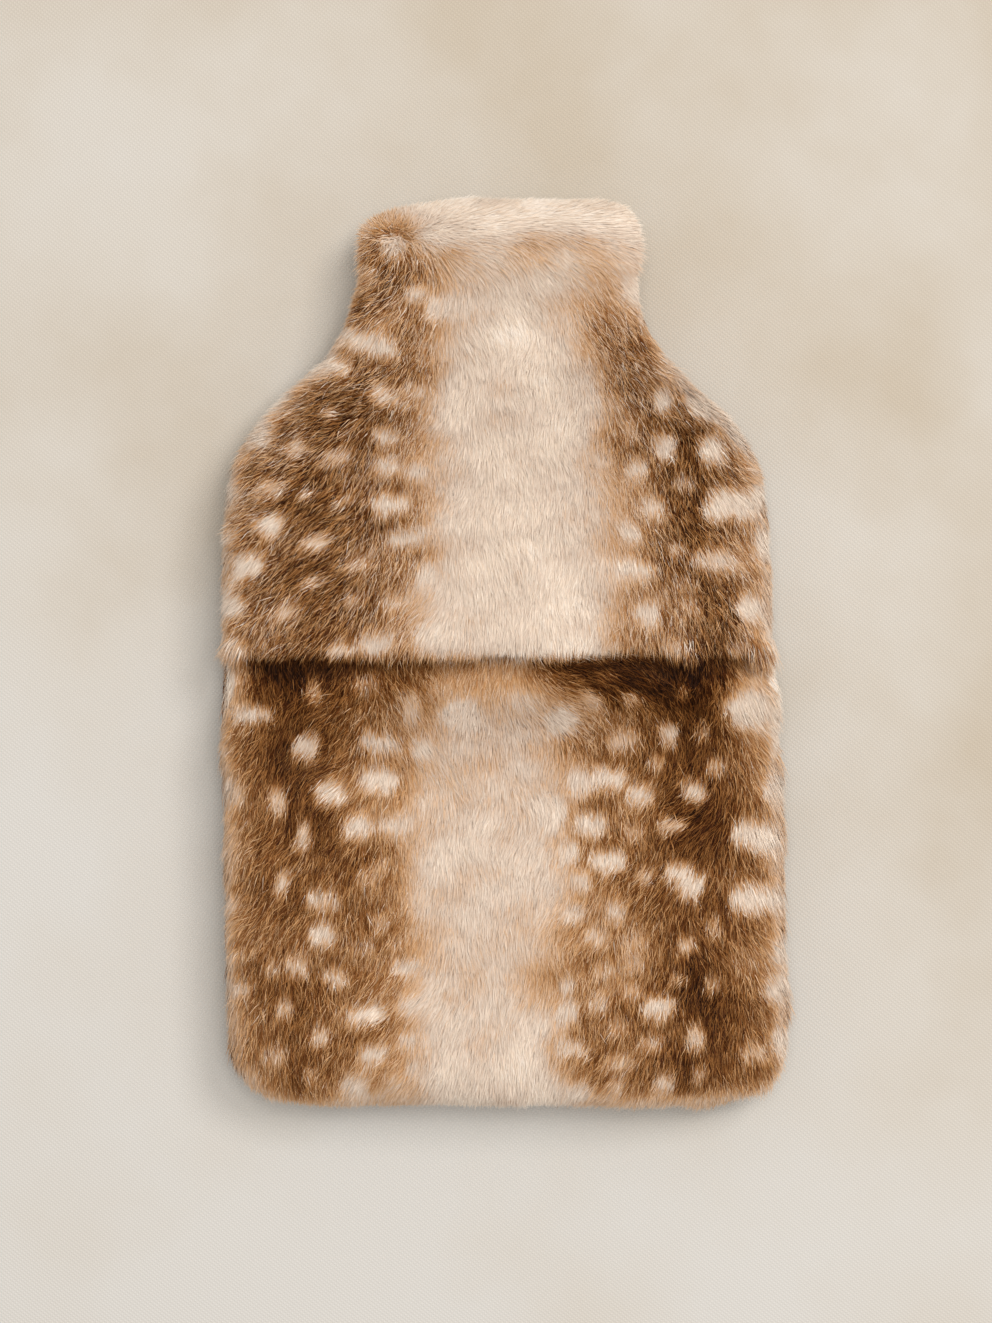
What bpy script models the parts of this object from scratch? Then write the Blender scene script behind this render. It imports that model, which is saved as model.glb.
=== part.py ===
"""Fitted cover for a hot water bottle, in long-pile cloth, lying on its back with its neck towards +Y.

Three cut panels make it: one back panel, an upper front panel that ends in a free flap,
and a lower front panel that makes the pocket under that flap. They meet along one side seam
that runs round the cover at mid height. The cover keeps the rounded shape of the bottle
that it is made for, and it is hollow, with its mouth between the flap and the pocket.

Metres, +Z up, origin under the middle of the cover. The sizes below are in millimetres.
"""

import math
from collections import namedtuple

import bmesh
import bpy

MM = 0.001

# Driving dimensions
LENGTH = 360.0
SEAM_HEIGHT = 24.0  # of the side seam over the surface that the cover lies on
SEAM_GAP = 0.3  # between two panels that are sewn edge to edge
WALL = 6.0  # backing and flattened pile together
PRESSED_WALL = 4.0  # the same cloth where the flap presses on it
END_ROUNDING = {"bottom": 30.0, "neck": 22.0}  # how far in from each end the cover rounds down
FRONT_FULLNESS = 2.7  # powers of the sections' round outlines: 2 is an ellipse
BACK_FULLNESS = 3.4

# The flap and the pocket
FLAP_EDGE = -3.5  # where the flap's free edge lies along the cover
FLAP_EDGE_BOW = 2.0  # how much higher that edge lies at the side seams
OVERLAP = 54.0  # the pocket's top edge lies this far up behind the flap's
MOUTH_HEIGHT = 7.0  # the open slit between the flap and the pocket
SIDE_CLEARANCE = 0.6  # between the flap's side wall and the pocket's
LEDGE = 8.0  # the level stretch of pocket that lies open in front of the mouth
CROWN_RAMP = 20.0  # the stretch below the ledge over which the pocket comes up to its full height
NECKING = 1.0  # from the flap's edge to where the pocket is narrow enough to pass inside it
SIDE_RAMP = 9.0  # the stretch below that over which it reaches its full width
LEDGE_END = FLAP_EDGE - LEDGE
NECKING_END = FLAP_EDGE - NECKING
POCKET_TOP = FLAP_EDGE + OVERLAP

# Sections across the cover, from its bottom to its neck, as the pile's outer surface.
# left and right are the outline's edges, front is the height over the side seam,
# and back is the depth under it.
Section = namedtuple("Section", "along left right front back")
SECTIONS = [
    Section(-180, -109.0, 111.5, 24.5, 25.5),
    Section(-140, -109.5, 112.0, 26.0, 25.5),
    Section(-100, -110.5, 111.5, 27.0, 25.5),
    Section(-66, -111.0, 110.5, 27.5, 25.5),
    Section(-35, -112.0, 109.0, 28.0, 25.5),
    Section(-3, -111.5, 107.0, 30.0, 25.5),
    Section(44, -111.0, 105.0, 30.0, 25.5),
    Section(60, -109.5, 103.5, 29.5, 25.5),
    Section(76, -106.0, 100.0, 28.5, 25.5),
    Section(84, -102.0, 96.0, 27.5, 25.5),
    Section(92, -94.5, 89.5, 26.0, 25.0),
    Section(107, -79.0, 73.5, 23.0, 24.0),
    Section(115, -71.0, 65.0, 21.5, 23.5),
    Section(123, -66.0, 59.5, 20.0, 23.0),
    Section(139, -61.0, 55.0, 19.0, 22.0),
    Section(155, -58.0, 53.5, 18.5, 21.5),
    Section(180, -57.5, 54.0, 18.0, 21.0),
]

# Rounded corners of the outline, each a quarter of an ellipse
Corner = namedtuple("Corner", "end side across along")
CORNERS = [
    Corner("bottom", "left", 40.0, 24.0),
    Corner("bottom", "right", 36.0, 22.0),
    Corner("neck", "left", 44.0, 16.0),
    Corner("neck", "right", 22.0, 12.0),
]

# Soft creases and swellings of the front, each along a straight line. A negative depth is a swelling.
Crease = namedtuple("Crease", "name x1 y1 x2 y2 depth width")
CREASES = [
    Crease("left shoulder", -68, 119, -40, 100, 3.0, 9.0),
    Crease("neck parting", -26, 156, 46, 156, 1.6, 8.0),
    Crease("right of the neck", 38, 127, 60, 121, 2.2, 9.0),
    Crease("left shoulder swelling", -56, 88, -38, 90, -2.0, 15.0),
    Crease("left of the pocket", -84, -30, -80, -98, 2.4, 10.0),
    Crease("right of the pocket", 76, -34, 85, -157, 2.4, 10.0),
]

# Mesh spacing
COLUMNS = 25  # points across a panel
END_ROWS = 6  # rows in the rounding at a closed end
ROW_STEP = 10.0  # between the rows elsewhere

# Finish
CLOTH_COLOURS = {
    "back_panel": (0.30, 0.17, 0.09),
    "upper_front_panel": (0.42, 0.26, 0.14),
    "lower_front_panel": (0.34, 0.20, 0.11),
}
CLOTH_ROUGHNESS = 0.9


def column(name):
    return [getattr(section, name) for section in SECTIONS]


def slopes_of(places, values):
    """Slopes for a smooth curve through the values that never swings past them."""
    steps = [
        (values[i + 1] - values[i]) / (places[i + 1] - places[i])
        for i in range(len(places) - 1)
    ]
    slopes = [steps[0]]
    for before, after in zip(steps, steps[1:]):
        rising_or_falling = before * after > 0
        slopes.append(2 * before * after / (before + after) if rising_or_falling else 0.0)
    slopes.append(steps[-1])
    return slopes


PLACES = column("along")
CURVES = {
    name: (column(name), slopes_of(PLACES, column(name)))
    for name in ("left", "right", "front", "back")
}


def section_value(name, along):
    """One measure of the section at a place along the cover."""
    values, slopes = CURVES[name]
    along = min(max(along, PLACES[0]), PLACES[-1])
    i = max(k for k in range(len(PLACES) - 1) if PLACES[k] <= along)
    span = PLACES[i + 1] - PLACES[i]
    t = (along - PLACES[i]) / span
    return (
        (1 + 2 * t) * (1 - t) ** 2 * values[i]
        + t * (1 - t) ** 2 * span * slopes[i]
        + t * t * (3 - 2 * t) * values[i + 1]
        + t * t * (t - 1) * span * slopes[i + 1]
    )


def from_end(end, along):
    return along + LENGTH / 2 if end == "bottom" else LENGTH / 2 - along


def corner_inset(side, along):
    """How far the outline's rounded corners bring it in at a place along the cover."""
    inset = 0.0
    for corner in CORNERS:
        distance = from_end(corner.end, along)
        if corner.side == side and distance < corner.along:
            lean = 1 - max(distance, 0.0) / corner.along
            inset += corner.across * (1 - math.sqrt(1 - lean * lean))
    return inset


def outline(along):
    left = section_value("left", along) + corner_inset("left", along)
    right = section_value("right", along) - corner_inset("right", along)
    return left, right


def end_rise(along):
    """From 0 on the seam at the cover's two ends to 1 where the rounding is over."""
    rise = 1.0
    for end, reach in END_ROUNDING.items():
        lean = 1 - min(max(from_end(end, along), 0.0) / reach, 1.0)
        rise *= math.sqrt(1 - lean * lean)
    return rise


def round_section(turn, fullness):
    """A point of a round section: its place across, -1 to 1, and its height, 0 to 1."""
    angle = math.pi * (1 - turn)
    power = 2 / fullness
    across = math.copysign(abs(math.cos(angle)) ** power, math.cos(angle))
    height = max(math.sin(angle), 0.0) ** power if 0 < turn < 1 else 0.0
    return across, height


def crease_depth(x, y):
    """How deep the creases lie at a point of the front."""
    depth = 0.0
    for crease in CREASES:
        run_x = crease.x2 - crease.x1
        run_y = crease.y2 - crease.y1
        t = ((x - crease.x1) * run_x + (y - crease.y1) * run_y) / (run_x**2 + run_y**2)
        t = min(max(t, 0.0), 1.0)
        away = math.hypot(x - crease.x1 - t * run_x, y - crease.y1 - t * run_y)
        depth += crease.depth * math.exp(-((away / crease.width) ** 2))
    return depth


def smooth_step(t):
    t = min(max(t, 0.0), 1.0)
    return t * t * (3 - 2 * t)


def sunk(along, end, ramp):
    """1 where the pocket is sunk to pass under the flap, from the end of a ramp on, and 0 before it."""
    return smooth_step((along - (end - ramp)) / ramp)


def skin_point(turn, along, inset, drop, fullness, face):
    """A point of a panel's skin. inset brings the skin in from the outline, at the sides and at
    the closed ends, and drop brings it in from the crown. face is 1 for the front, -1 for the back."""
    left, right = outline(along)
    across, height = round_section(turn, fullness)
    x = (left + right) / 2 + across * ((right - left) / 2 - inset)
    half = LENGTH / 2
    rise = height * end_rise(along * half / (half - inset))
    reach = section_value("front" if face > 0 else "back", along) - drop
    z = SEAM_HEIGHT + face * (SEAM_GAP / 2 + (reach - SEAM_GAP / 2) * rise)
    if face > 0:
        z -= crease_depth(x, along) * rise
    return x, along, z


def back_point(turn, along, inner):
    """A point of the back panel, flat where it lies on the surface."""
    wall = WALL if inner else 0.0
    x, y, z = skin_point(turn, along, wall, wall, BACK_FULLNESS, -1)
    return x, y, max(z, wall)


def flap_point(turn, along, inner):
    """A point of the upper front panel, whose free edge rises a little towards the seams."""
    wall = WALL if inner else 0.0
    x, y, z = skin_point(turn, along, wall, wall, FRONT_FULLNESS, 1)
    fade = 1 - smooth_step((along - FLAP_EDGE) / ROW_STEP)
    bow = FLAP_EDGE_BOW * (2 * turn - 1) ** 2
    return x, y + bow * fade, z


def pocket_point(turn, along, inner):
    """A point of the lower front panel, which goes in under the flap."""
    lowered = sunk(along, LEDGE_END, CROWN_RAMP)
    narrowed = sunk(along, NECKING_END, SIDE_RAMP)
    wall = WALL + (PRESSED_WALL - WALL) * lowered if inner else 0.0
    inset = (WALL + SIDE_CLEARANCE) * narrowed + wall
    drop = (WALL + MOUTH_HEIGHT) * lowered + wall
    return skin_point(turn, along, inset, drop, FRONT_FULLNESS, 1)


def end_rows(end):
    """Distances from a closed end for the rows in its rounding, the nearest first."""
    turns = [i / END_ROWS * math.pi / 2 for i in range(END_ROWS)]
    return [END_ROUNDING[end] * (1 - math.cos(turn)) for turn in turns]


def rows_through(places):
    """Places along the cover for a panel's rows. They pass through the given places, and lie close
    together in the rounding where the first or the last of them is a closed end."""
    half = LENGTH / 2
    places = list(places)
    below, above = [], []
    if places[0] == -half:
        below = [-half + distance for distance in end_rows("bottom")]
        places[0] = -half + END_ROUNDING["bottom"]
    if places[-1] == half:
        above = [half - distance for distance in reversed(end_rows("neck"))]
        places[-1] = half - END_ROUNDING["neck"]
    rows = [places[0]]
    for start, stop in zip(places, places[1:]):
        count = math.ceil((stop - start) / ROW_STEP)
        rows += [start + (stop - start) * i / count for i in range(1, count + 1)]
    return below + rows + above


def inner_place(along):
    """Where a row of the inner skin lies: a wall's thickness in from a closed end."""
    half = LENGTH / 2
    reach = max(END_ROUNDING.values())
    for sign in (-1, 1):
        distance = half - sign * along
        if distance < reach:
            return sign * (half - WALL - distance * (reach - WALL) / reach)
    return along


def add_skin(bm, rows, point, inner):
    """One skin of a panel: a grid of points, moved to their places."""
    grid = bmesh.ops.create_grid(bm, x_segments=COLUMNS - 1, y_segments=len(rows) - 1, size=1.0)
    verts = sorted(grid["verts"], key=lambda v: (round(v.co.y, 4), round(v.co.x, 4)))
    for i, vert in enumerate(verts):
        turn = (i % COLUMNS) / (COLUMNS - 1)
        along = rows[i // COLUMNS]
        if inner:
            along = inner_place(along)
        vert.co = [MM * value for value in point(turn, along, inner)]
    return verts


def rim_of(verts, row_count):
    """The vertices round a grid's border, in order."""
    last = COLUMNS * (row_count - 1)
    bottom = list(range(COLUMNS))
    right = [COLUMNS * i + COLUMNS - 1 for i in range(1, row_count)]
    top = [last + i for i in range(COLUMNS - 2, -1, -1)]
    left = [COLUMNS * i for i in range(row_count - 2, 0, -1)]
    return [verts[i] for i in bottom + right + top + left]


def add_panel(name, places, point):
    """A panel of cloth: an outer skin, an inner skin, and the cut edge between their rims."""
    rows = rows_through(places)
    bm = bmesh.new()
    rims = [rim_of(add_skin(bm, rows, point, inner), len(rows)) for inner in (False, True)]
    outer, inner = rims
    for i in range(len(outer)):
        bm.faces.new((outer[i - 1], outer[i], inner[i], inner[i - 1]))
    bmesh.ops.recalc_face_normals(bm, faces=bm.faces)
    mesh = bpy.data.meshes.new(name)
    bm.to_mesh(mesh)
    bm.free()
    mesh.shade_smooth()
    mesh.set_sharp_from_angle(angle=math.radians(40))
    panel = bpy.data.objects.new(name, mesh)
    bpy.context.scene.collection.objects.link(panel)
    mesh.materials.append(cloth_material(name))
    return panel


def cloth_material(name):
    material = bpy.data.materials.new(name + "_cloth")
    material.use_nodes = True
    shader = material.node_tree.nodes["Principled BSDF"]
    shader.inputs["Base Color"].default_value = (*CLOTH_COLOURS[name], 1.0)
    shader.inputs["Roughness"].default_value = CLOTH_ROUGHNESS
    shader.inputs["Metallic"].default_value = 0.0
    return material


def main():
    for old in list(bpy.data.objects):
        bpy.data.objects.remove(old, do_unlink=True)
    half = LENGTH / 2
    pocket_places = (-half, LEDGE_END - CROWN_RAMP, NECKING_END - SIDE_RAMP, NECKING_END, POCKET_TOP)
    add_panel("back_panel", (-half, half), back_point)
    add_panel("upper_front_panel", (FLAP_EDGE, half), flap_point)
    add_panel("lower_front_panel", pocket_places, pocket_point)


main()
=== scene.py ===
# %% [markdown]
# # A furry cover for a hot water bottle
#
# The real thing is cut from long-pile cloth, printed like a young deer's coat: brown flanks
# with cream spots, and a cream band down the middle. Three panels make it: a back, an upper
# front that ends in a free flap, and a pocket whose top edge goes in behind that flap.
# The imported model holds the three panels as plain solids. This lesson puts a thin sheet of
# cloth on the folds of each one, and then grows the pile on that cloth, strand by strand.
#
# Sizes are measured in millimetres on the cover itself: x across it, y along it towards
# its neck, z up out of its front.

# %% The imported model and the tools
import math
from collections import namedtuple

import bpy
import numpy as np
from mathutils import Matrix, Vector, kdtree


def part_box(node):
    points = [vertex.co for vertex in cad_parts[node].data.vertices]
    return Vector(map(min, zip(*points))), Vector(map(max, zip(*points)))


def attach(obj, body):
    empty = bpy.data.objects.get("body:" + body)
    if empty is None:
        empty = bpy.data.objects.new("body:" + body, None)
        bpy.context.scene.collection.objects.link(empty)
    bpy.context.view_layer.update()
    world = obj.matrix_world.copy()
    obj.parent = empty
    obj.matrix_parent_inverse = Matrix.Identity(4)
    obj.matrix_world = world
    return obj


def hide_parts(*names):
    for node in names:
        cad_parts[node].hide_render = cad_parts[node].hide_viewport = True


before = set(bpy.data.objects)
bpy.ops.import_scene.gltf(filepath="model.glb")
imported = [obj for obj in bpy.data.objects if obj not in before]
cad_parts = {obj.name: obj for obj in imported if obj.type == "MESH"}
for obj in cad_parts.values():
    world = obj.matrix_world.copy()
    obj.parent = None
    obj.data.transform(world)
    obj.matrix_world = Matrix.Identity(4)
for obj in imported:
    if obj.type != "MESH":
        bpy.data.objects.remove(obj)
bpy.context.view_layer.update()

MM = 0.001
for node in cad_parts:
    low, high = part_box(node)
    print(node, "from", [round(c / MM) for c in low], "to", [round(c / MM) for c in high])

# %% [markdown]
# ## The camera
#
# The photograph looks straight down on the cover with its neck up. Perspective shows little,
# so a lens that is long for its picture is right. The field is what the picture's long side
# takes in at the height of the side seam, where the cover's outline lies, and the distance
# follows from it and the lens.

# %% The camera, straight above
SEAM_HEIGHT = 24 * MM
FIELD = 521.7 * MM  # along the picture's long side, at the seam's height
LENS, SENSOR = 85.0, 36.0
CENTRE_X, CENTRE_Y = -3 * MM, -4 * MM

camera = bpy.data.objects.new("camera", bpy.data.cameras.new("camera"))
camera.data.lens = LENS
camera.data.sensor_width = SENSOR
camera.location = (CENTRE_X, CENTRE_Y, SEAM_HEIGHT + FIELD * LENS / SENSOR)
bpy.context.scene.collection.objects.link(camera)
bpy.context.scene.camera = camera
print("camera height", round(camera.location.z, 3), "m")

# %% [markdown]
# ## The cloth
#
# Under the pile is a knitted cloth about a millimetre thick. Each CAD panel is a solid whose
# outer skin is where the pile ends, so the cloth itself lies a pile's depth inside it. It could
# be modelled afresh, but then its folds would have to be matched to the panel's. A copy of the
# panel has them already: its doubles are merged, its inner skin and its cut edges are deleted,
# and a Displace modifier draws what is left inwards.

# %% Helpers for working on one piece
def take_up(piece):
    """Selects one piece and nothing else, and makes it active."""
    if bpy.context.mode != "OBJECT":
        bpy.ops.object.mode_set(mode="OBJECT")
    bpy.ops.object.select_all(action="DESELECT")
    piece.select_set(True)
    bpy.context.view_layer.objects.active = piece


def finish_with(piece, kind, **settings):
    """Adds a modifier and applies it."""
    take_up(piece)
    modifier = piece.modifiers.new(kind.title(), kind)
    for name, value in settings.items():
        setattr(modifier, name, value)
    bpy.ops.object.modifier_apply(modifier=modifier.name)


def numbers(items, name):
    """Three numbers for each of many mesh items, such as where it is, as an array."""
    values = np.empty(len(items) * 3, np.float32)
    items.foreach_get(name, values)
    return values.reshape(-1, 3)


def places_of(cloth):
    return numbers(cloth.data.vertices, "co")


def move_points(cloth, places):
    cloth.data.vertices.foreach_set("co", places.ravel())
    cloth.data.update()


def select_only(piece, faces=None, edges=None):
    """Selects faces or edges of a mesh, given as a row of true and false, before edit mode."""
    mesh = piece.data
    mesh.vertices.foreach_set("select", np.zeros(len(mesh.vertices), bool))
    for items, chosen in ((mesh.edges, edges), (mesh.polygons, faces)):
        items.foreach_set("select", np.zeros(len(items), bool) if chosen is None else chosen)
    bpy.context.tool_settings.mesh_select_mode = (False, edges is not None, faces is not None)


def table(kind, rows):
    """Rows of plain numbers as rows with named columns."""
    return [kind(*row) for row in rows]


def unit(vectors):
    lengths = np.linalg.norm(vectors, axis=-1, keepdims=True)
    return vectors / np.maximum(lengths, 1e-9)


def smooth_step(t):
    t = np.clip(t, 0.0, 1.0)
    return t * t * (3 - 2 * t)


# %% The outer skin of a panel as bare cloth
PILE_DEPTH = 4.4  # from the ends of the pile down to the cloth
CORE_WIDTH, CORE_LENGTH = 0.6, 130.0  # of the line inside the cover that the skins are judged from
OUTWARD = 0.2  # how far a face must look away from that line to be outer skin


def away_from_core(points):
    """From the cover's middle towards each point, which is given in metres."""
    core = points.copy()
    core[:, 0] *= CORE_WIDTH
    core[:, 1] = np.clip(core[:, 1], -CORE_LENGTH * MM, CORE_LENGTH * MM)
    core[:, 2] = SEAM_HEIGHT
    return unit(points - core)


def bare_cloth(node, name):
    """The panel's outer skin, drawn in by the depth of the pile."""
    cloth = bpy.data.objects.new(name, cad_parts[node].data.copy())
    bpy.context.scene.collection.objects.link(cloth)
    cloth.data.materials.clear()
    take_up(cloth)
    bpy.ops.object.mode_set(mode="EDIT")
    bpy.ops.mesh.select_all(action="SELECT")
    bpy.ops.mesh.remove_doubles(threshold=0.00001)
    bpy.ops.object.mode_set(mode="OBJECT")
    centres = numbers(cloth.data.polygons, "center")
    normals = numbers(cloth.data.polygons, "normal")
    facing = (away_from_core(centres) * normals).sum(axis=1)
    select_only(cloth, faces=facing < OUTWARD)
    bpy.ops.object.mode_set(mode="EDIT")
    bpy.ops.mesh.delete(type="FACE")
    bpy.ops.mesh.select_all(action="SELECT")
    bpy.ops.mesh.tris_convert_to_quads(face_threshold=math.pi, shape_threshold=math.pi)
    bpy.ops.object.mode_set(mode="OBJECT")
    cloth.data.shade_smooth()
    finish_with(cloth, "DISPLACE", strength=-PILE_DEPTH * MM, mid_level=0.0)
    faces = cloth.data.polygons
    print(name, len(faces), "faces,", sum(len(f.vertices) == 4 for f in faces), "of them quads")
    return cloth


back_cloth = bare_cloth("back_panel", "back_cloth")
flap_cloth = bare_cloth("upper_front_panel", "flap_cloth")
pocket_cloth = bare_cloth("lower_front_panel", "pocket_cloth")

# %% [markdown]
# ## The flap's hem
#
# The flap's free edge is turned under into a soft rounded hem, and its pile hangs over that
# edge. The cloth is therefore pulled back a little from where the pile will end, and its open
# edge is extruded twice: first down and forwards, then down and back under.

# %% Pull the flap's edge back and turn its hem
FLAP_EDGE = -3.5
HEM_PULL, HEM_REACH = 6.5, 24.0  # how far the edge moves back, and the stretch that gives way
HEM_RISE = [
    (-98, -1.2), (-60, -1.0), (-30, -0.2), (0, 1.0), (30, 1.7), (62, 1.9), (74, 1.5), (84, 0.6),
    (92, -0.6), (100, -1.5),
]
HEM_TURNS = ((1.8, -0.9), (2.4, 0.9))  # how far in and how far along, for each extrusion
HEM_ZONE = 6.0  # open edges this near the flap's edge belong to the hem


def pull_back(cloth):
    places = places_of(cloth)
    along = places[:, 1] / MM - FLAP_EDGE
    pull = HEM_PULL + np.interp(places[:, 0] / MM, *zip(*HEM_RISE))
    places[:, 1] += pull * MM * (1 - smooth_step(along / HEM_REACH))
    move_points(cloth, places)


def open_edges(cloth):
    """Which edges of a sheet belong to one face only."""
    uses = np.zeros(len(cloth.data.edges), int)
    for face in cloth.data.polygons:
        for key in face.loop_indices:
            uses[cloth.data.loops[key].edge_index] += 1
    return uses == 1


def turn_hem(cloth):
    zone_end = (FLAP_EDGE + HEM_PULL + HEM_ZONE) * MM
    for inwards, forwards in HEM_TURNS:
        places = places_of(cloth)
        ends = np.array([edge.vertices for edge in cloth.data.edges])
        near = (places[ends][:, :, 1] < zone_end).all(axis=1)
        select_only(cloth, edges=open_edges(cloth) & near)
        take_up(cloth)
        bpy.ops.object.mode_set(mode="EDIT")
        # The order of the new points can differ from run to run. The strands on the flap follow
        # it, so they don't stand at quite the same places each time.
        bpy.ops.mesh.extrude_edges_move()
        bpy.ops.object.mode_set(mode="OBJECT")
        places = places_of(cloth)
        moved = np.array([vertex.select for vertex in cloth.data.vertices])
        step = -inwards * away_from_core(places)
        step[:, 1] = forwards
        places[moved] += step[moved] * MM
        move_points(cloth, places)
        print("hem turned on", int(moved.sum()), "points")


pull_back(flap_cloth)
turn_hem(flap_cloth)

# %% [markdown]
# The pocket's sides are sewn into the long side seams with the back. Drawn in from the packed
# solid, they stop short of the seam beside the mouth, and a slot would show there. So the
# pocket's lowest stretch is moved outwards until its edge meets the back's.

# %% Bring the pocket's sides out to the seam
SEAM_REACH = 9.0  # the height over which the pocket gives way
SIDE_FROM = 80.0  # what lies farther out than this is at the cover's side
AT_SEAM = 1.5  # how near the seam's height an edge has to lie


def edge_line_at(cloth, side, along):
    """How far out a sheet's open edge lies on one side, at places along the cover."""
    places = places_of(cloth) / MM
    ends = np.array([edge.vertices for edge in cloth.data.edges])[open_edges(cloth)]
    rim = places[np.unique(ends)]
    off_seam = np.abs(rim[:, 2] - SEAM_HEIGHT / MM)
    rim = rim[(rim[:, 0] * side > SIDE_FROM) & (off_seam < AT_SEAM)]
    rim = rim[np.argsort(rim[:, 1])]
    return np.interp(along, rim[:, 1], rim[:, 0])


def meet_the_seam(cloth, other):
    places = places_of(cloth)
    for side in (-1, 1):
        chosen = side * places[:, 0] > SIDE_FROM * MM
        along = places[chosen, 1] / MM
        gap = edge_line_at(other, side, along) - edge_line_at(cloth, side, along)
        low = 1 - smooth_step((places[chosen, 2] - SEAM_HEIGHT) / MM / SEAM_REACH)
        places[chosen, 0] += gap * low * MM
        print("moved out by up to", round(float(np.abs(gap).max()), 1), "mm")
    move_points(cloth, places)


meet_the_seam(pocket_cloth, back_cloth)

# %% [markdown]
# ## Creases
#
# The panels' solids hold the cover's large folds. The narrow ones are pressed in here, each
# a soft trough along a short line, once a Subdivision Surface has given the cloth enough
# points. A slow unevenness of half a millimetre keeps the cloth from looking drawn by rule.

# %% Press in the narrow creases
Crease = namedtuple("Crease", "x1 y1 x2 y2 depth width")
FLAP_CREASES = table(Crease, [
    (-35, 153, -21, 142, 1.6, 4.0), (8, 157, 40, 156, 1.4, 4.0), (30, 121, 54, 128, 1.5, 5.0),
    (44, 117, 58, 114, 1.5, 3.5), (-68, 118, -42, 101, 1.8, 5.0),
])
POCKET_CREASES = table(Crease, [
    (70, -5, 72, -38, 2.0, 6.0), (-84, -40, -82, -95, 1.2, 5.0), (-60, -120, -30, -122, 0.8, 6.0),
])
UNEVENNESS, UNEVEN_SIZE = 0.5, 28  # how deep and how wide the slow unevenness is
WAVES = 14  # that a ripple is made of


def ripple(points, size, seed):
    """A smooth uneven field of about -1 to 1, whose humps are about size across."""
    rng = np.random.default_rng(seed)
    waves = unit(rng.normal(size=(WAVES, 3))) * (math.pi / size)
    waves *= rng.uniform(0.6, 1.4, (WAVES, 1))
    phases = rng.uniform(0, 2 * math.pi, WAVES)
    return np.sin(points @ waves.T + phases).sum(axis=1) / math.sqrt(WAVES / 2)


def near_line(points, line):
    """How far points lie from a short straight line, seen from above."""
    run = np.array([line.x2 - line.x1, line.y2 - line.y1], float)
    offset = points[:, :2] - (line.x1, line.y1)
    along = np.clip(offset @ run / (run @ run), 0, 1)
    return np.linalg.norm(offset - along[:, None] * run, axis=1)


def press(cloth, creases, seed):
    finish_with(cloth, "SUBSURF", levels=1, render_levels=1)
    places = places_of(cloth)
    normals = numbers(cloth.data.vertices, "normal")
    on_cover = places / MM
    depth = UNEVENNESS * ripple(on_cover, UNEVEN_SIZE, seed)
    for crease in creases:
        depth += crease.depth * np.exp(-((near_line(on_cover, crease) / crease.width) ** 2))
    on_front = np.clip(normals[:, 2], 0, 1)
    places -= normals * (depth * on_front * MM)[:, None]
    move_points(cloth, places)
    print(cloth.name, "pressed, deepest", round(float((depth * on_front).max()), 1), "mm")


press(back_cloth, [], 3)
press(flap_cloth, FLAP_CREASES, 4)
press(pocket_cloth, POCKET_CREASES, 5)
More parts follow.
